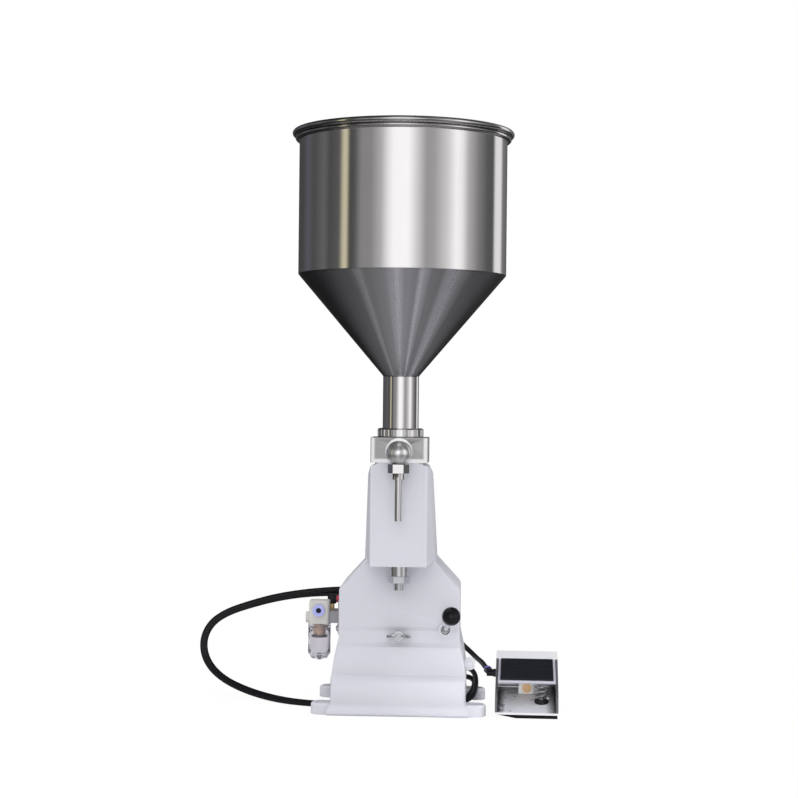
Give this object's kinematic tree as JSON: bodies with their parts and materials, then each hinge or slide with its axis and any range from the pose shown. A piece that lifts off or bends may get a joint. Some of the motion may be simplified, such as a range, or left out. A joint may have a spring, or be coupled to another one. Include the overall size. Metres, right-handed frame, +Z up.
{
  "type": "pneumatic filling machine",
  "caption": "Bench filling machine: cast column and base, conical steel hopper over a metering piston with ball valves, front nozzle, hand lever, air filter and a foot pedal on hoses.",
  "frame": {"origin": "centre of the four foot bolt holes, at the level of the bench", "axes": "+X to the operator's right, +Y to the back, +Z up"},
  "size_m": [0.4237, 0.2884, 0.65],
  "materials": {
    "white_paint": "smooth satin paint",
    "hopper_steel": "finely brushed and polished",
    "polished_steel": "polished",
    "bright_steel": "bright",
    "valve_steel": "ground",
    "zinc_steel": "zinc plated",
    "spring_steel": "drawn wire",
    "seal_rubber": "matte",
    "black_plastic": "moulded",
    "valve_aluminium": "satin anodised",
    "grey_plastic": "moulded",
    "clear_bowl": "clear moulded bowl",
    "bronze": "sintered",
    "brass": "machined",
    "red_plastic": "moulded",
    "blue_plastic": "moulded",
    "hose_black": "smooth tube",
    "pedal_paint": "polished sheet with satin sides",
    "tread_paint": "light grey paint",
    "mat_rubber": "ribbed",
    "white_plastic": "moulded"
  },
  "bodies": {
    "machine": {"body_casting": "white_paint", "rear_cover": "white_paint", "bottom_cover": "white_paint", "hopper": "hopper_steel", "ring_nut": "polished_steel", "valve_block": "polished_steel", "outlet_nose": "polished_steel", "nozzle_nut": "polished_steel", "nozzle": "polished_steel", "cylinder_cap": "polished_steel", "pan_screws": "bright_steel", "block_screws": "bright_steel", "pedal_pins": "bright_steel", "lever_bush": "bright_steel", "inlet_valve_cage": "valve_steel", "metering_cylinder": "valve_steel", "cylinder_partition": "valve_steel", "lock_nut": "zinc_steel", "clamp_stud": "zinc_steel", "inlet_valve_spring": "spring_steel", "outlet_valve_spring": "spring_steel", "return_spring": "spring_steel", "filter_baffle": "black_plastic", "filter_elbow": "black_plastic", "elbow_fittings": "black_plastic", "hose_clip": "black_plastic", "filter_bracket": "black_plastic", "spring_seat": "black_plastic", "hand_valve": "valve_aluminium", "air_valve": "valve_aluminium", "pedal_valve": "valve_aluminium", "silencer": "grey_plastic", "filter_head": "grey_plastic", "filter_bowl": "clear_bowl", "filter_element": "bronze", "spool_end": "bronze", "filter_nipple": "brass", "red_collet": "red_plastic", "blue_collets": "blue_plastic", "inlet_fitting": "blue_plastic", "air_hose_a": "hose_black", "air_hose_b": "hose_black", "outlet_tube": "hose_black", "pedal_housing": "pedal_paint", "pedal_pad": "mat_rubber", "valve_end_cap": "white_plastic"},
    "piston": {"metering_piston": "valve_steel", "piston_rod": "valve_steel", "air_piston": "valve_steel", "piston_seals": "seal_rubber"},
    "inlet_ball": {"inlet_valve_ball": "valve_steel"},
    "outlet_ball": {"outlet_valve_ball": "valve_steel"},
    "stop_screw": {"adjusting_screw": "zinc_steel"},
    "hand_lever": {"lever_stem": "bright_steel", "ball_knob": "black_plastic"},
    "wing_nut": {"clamp_wing_nut": "bright_steel"},
    "drain": {"filter_drain": "black_plastic"},
    "tread": {"pedal_tread": "tread_paint", "tread_mat": "mat_rubber"},
    "plunger": {"valve_plunger": "brass"}
  },
  "joints": [
    {"name": "piston_slide", "type": "slide", "parent": "machine", "child": "piston", "axis": [0, 0, 1], "range_m": [0, 0.028]},
    {"name": "inlet_check", "type": "slide", "parent": "machine", "child": "inlet_ball", "axis": [0, 0, -1], "range_m": [0, 0.0035], "stiffness_N_per_m": 120, "springref_m": -0.004, "deforming": ["inlet_valve_spring"]},
    {"name": "outlet_check", "type": "slide", "parent": "machine", "child": "outlet_ball", "axis": [0, -1, 0], "range_m": [0, 0.003], "stiffness_N_per_m": 100, "springref_m": -0.003, "deforming": ["outlet_valve_spring"]},
    {"name": "stop_screw_feed", "type": "slide", "parent": "machine", "child": "stop_screw", "axis": [0, 0, -1], "range_m": [0, 0.01]},
    {"name": "lever_swing", "type": "hinge", "parent": "machine", "child": "hand_lever", "pos_m": [0.052, -0.059, 0.095], "axis": [1, 0, 0], "range_deg": [0, 70]},
    {"name": "wing_nut_turn", "type": "hinge", "parent": "machine", "child": "wing_nut", "pos_m": [0, -0.058, 0.088], "axis": [0, -1, 0], "continuous": true},
    {"name": "drain_push", "type": "slide", "parent": "machine", "child": "drain", "axis": [0, 0, 1], "range_m": [0, 0.002], "stiffness_N_per_m": 60, "springref_m": -0.002},
    {"name": "tread_press", "type": "hinge", "parent": "machine", "child": "tread", "pos_m": [0.14556, 0.01747, 0.04752], "axis": [0.9997, -0.0262, 0], "range_deg": [0, 8], "stiffness_Nm_per_rad": 6, "springref_deg": -1.72, "deforming": ["return_spring"]},
    {"name": "plunger_press", "type": "slide", "parent": "machine", "child": "plunger", "axis": [0, 0, -1], "range_m": [0, 0.0026]}
  ],
  "couplings": [
    {"joint": "plunger_press", "follows": "tread_press", "m_per_rad": 0.0186}
  ]
}
